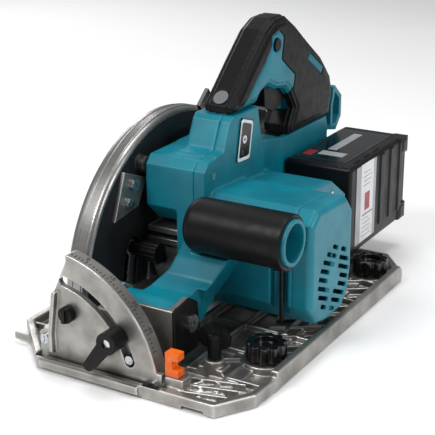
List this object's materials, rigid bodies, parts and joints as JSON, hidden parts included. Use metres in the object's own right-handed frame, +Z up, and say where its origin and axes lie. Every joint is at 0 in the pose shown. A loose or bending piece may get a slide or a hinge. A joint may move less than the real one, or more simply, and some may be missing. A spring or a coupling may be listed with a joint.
{
  "type": "cordless circular saw",
  "caption": "Cordless circular saw with tilting base, depth swing, bevel quadrant, D-handle, side grip, vented motor, swinging lower guard and slide-on battery.",
  "frame": {"origin": "on the sole's front strip, in the blade plane, 186 mm ahead of the arbor", "axes": "+Z up from the sole, +Y to the rear along the cut, +X across to the motor side, along the arbor"},
  "size_m": [0.263, 0.455, 0.385],
  "materials": {
    "cast_metal": "die cast, lightly blasted",
    "gear_metal": "die cast",
    "steel": "zinc plated and ground",
    "body_plastic": "moulded glass-filled nylon, teal",
    "black_plastic": "moulded, satin",
    "orange_plastic": "moulded",
    "rubber": "overmoulded elastomer, matt",
    "guard_metal": "die cast, dark",
    "laminations": "stamped"
  },
  "bodies": {
    "base": {"base_plate": "cast_metal", "front_quadrant": "cast_metal", "rear_quadrant": "cast_metal", "quadrant_screws": "steel"},
    "tilt_frame": {"front_bracket": "cast_metal", "rear_bracket": "cast_metal", "depth_guide": "steel", "bevel_studs": "steel", "pivot_pin": "steel", "guide_screws": "steel"},
    "saw_head": {"blade_case": "cast_metal", "gear_case": "gear_metal", "case_bracket": "gear_metal", "case_screws": "steel", "pivot_arm": "body_plastic", "housing_left": "body_plastic", "housing_right": "body_plastic", "motor_end_cover": "body_plastic", "grip_core": "body_plastic", "grip_rubber": "rubber", "handle_left": "body_plastic", "handle_right": "body_plastic", "handle_rubber": "rubber", "indicator_panel": "black_plastic", "strap_hook": "body_plastic", "hex_wrench": "black_plastic", "dust_nozzle": "black_plastic", "battery_terminal": "black_plastic", "switch_block": "black_plastic", "controller": "black_plastic", "stator": "laminations", "bearings": "steel", "housing_screws": "steel", "guard_spring": "steel", "depth_clamp_bolt": "steel"},
    "lower_guard": {"lower_guard": "guard_metal", "guard_lever": "guard_metal"},
    "arbor": {"blade": "steel", "blade_flanges": "steel", "blade_bolt": "steel", "spindle": "steel", "drive_gear": "steel"},
    "motor_rotor": {"rotor": "steel", "fan": "black_plastic"},
    "trigger": {"trigger": "black_plastic"},
    "lock_off": {"lock_off_button": "black_plastic"},
    "shaft_lock": {"shaft_lock_button": "black_plastic"},
    "depth_lever": {"depth_lever": "black_plastic"},
    "front_bevel_lever": {"front_bevel_lever": "black_plastic"},
    "rear_bevel_lever": {"rear_bevel_lever": "black_plastic"},
    "positive_stopper": {"positive_stopper": "black_plastic"},
    "slide_lever": {"slide_lever": "orange_plastic"},
    "front_rail_knob": {"front_rail_knob": "black_plastic"},
    "rear_rail_knob": {"rear_rail_knob": "black_plastic"},
    "fence_bolt": {"fence_bolt": "black_plastic"},
    "battery": {"battery": "black_plastic"},
    "battery_button": {"battery_button": "black_plastic"}
  },
  "joints": [
    {"name": "bevel_tilt", "type": "hinge", "parent": "base", "child": "tilt_frame", "pos_m": [0, 0.186, 0], "axis": [0, -1, 0], "range_deg": [0, 45]},
    {"name": "depth_swing", "type": "hinge", "parent": "tilt_frame", "child": "saw_head", "pos_m": [0, 0.046, 0.047], "axis": [1, 0, 0], "range_deg": [0, 38]},
    {"name": "guard_swing", "type": "hinge", "parent": "saw_head", "child": "lower_guard", "pos_m": [0, 0.186, 0.038], "axis": [1, 0, 0], "range_deg": [0, 100], "stiffness_Nm_per_rad": 0.15, "springref_deg": -68.75},
    {"name": "blade_spin", "type": "hinge", "parent": "saw_head", "child": "arbor", "pos_m": [0, 0.186, 0.038], "axis": [1, 0, 0], "continuous": true},
    {"name": "motor_spin", "type": "hinge", "parent": "saw_head", "child": "motor_rotor", "pos_m": [0, 0.166, 0.06036], "axis": [1, 0, 0], "continuous": true},
    {"name": "trigger_pull", "type": "hinge", "parent": "saw_head", "child": "trigger", "pos_m": [0, 0.264, 0.216], "axis": [1, 0, 0], "range_deg": [0, 9], "stiffness_Nm_per_rad": 0.3, "springref_deg": -17.19},
    {"name": "lock_off_press", "type": "slide", "parent": "saw_head", "child": "lock_off", "axis": [-1, 0, 0], "range_m": [0, 0.003], "stiffness_N_per_m": 400, "springref_m": -0.002},
    {"name": "shaft_lock_press", "type": "slide", "parent": "saw_head", "child": "shaft_lock", "axis": [0, 1, 0], "range_m": [0, 0.003], "stiffness_N_per_m": 400, "springref_m": -0.002},
    {"name": "depth_lever_turn", "type": "hinge", "parent": "saw_head", "child": "depth_lever", "pos_m": [0, 0.28168, 0.03465], "axis": [1, 0, 0], "range_deg": [0, 45]},
    {"name": "front_bevel_lever_turn", "type": "hinge", "parent": "tilt_frame", "child": "front_bevel_lever", "pos_m": [0.07338, -0.014, 0.04766], "axis": [0, 1, 0], "range_deg": [0, 60]},
    {"name": "rear_bevel_lever_turn", "type": "hinge", "parent": "tilt_frame", "child": "rear_bevel_lever", "pos_m": [0.05535, 0.366, 0.03595], "axis": [0, -1, 0], "range_deg": [-50, 0]},
    {"name": "positive_stopper_turn", "type": "hinge", "parent": "base", "child": "positive_stopper", "pos_m": [0.0215, -0.014, 0.057], "axis": [0, 1, 0], "range_deg": [0, 180]},
    {"name": "slide_lever_shift", "type": "slide", "parent": "base", "child": "slide_lever", "axis": [1, 0, 0], "range_m": [0, 0.005]},
    {"name": "front_rail_knob_turn", "type": "hinge", "parent": "base", "child": "front_rail_knob", "pos_m": [0.167, 0.083, 0.02], "axis": [0, 0, 1], "range_deg": [0, 180]},
    {"name": "rear_rail_knob_turn", "type": "hinge", "parent": "base", "child": "rear_rail_knob", "pos_m": [0.167, 0.308, 0.02], "axis": [0, 0, 1], "range_deg": [0, 180]},
    {"name": "fence_bolt_turn", "type": "hinge", "parent": "base", "child": "fence_bolt", "pos_m": [0.137, 0.044, 0.03], "axis": [0, 0, 1], "range_deg": [0, 360]},
    {"name": "battery_slide", "type": "slide", "parent": "saw_head", "child": "battery", "axis": [0, 1, 0], "range_m": [0, 0.07]},
    {"name": "battery_button_press", "type": "slide", "parent": "battery", "child": "battery_button", "axis": [0, 0, -1], "range_m": [0, 0.004], "stiffness_N_per_m": 300, "springref_m": -0.002}
  ],
  "couplings": [
    {"joint": "motor_spin", "follows": "blade_spin", "ratio": -5}
  ]
}
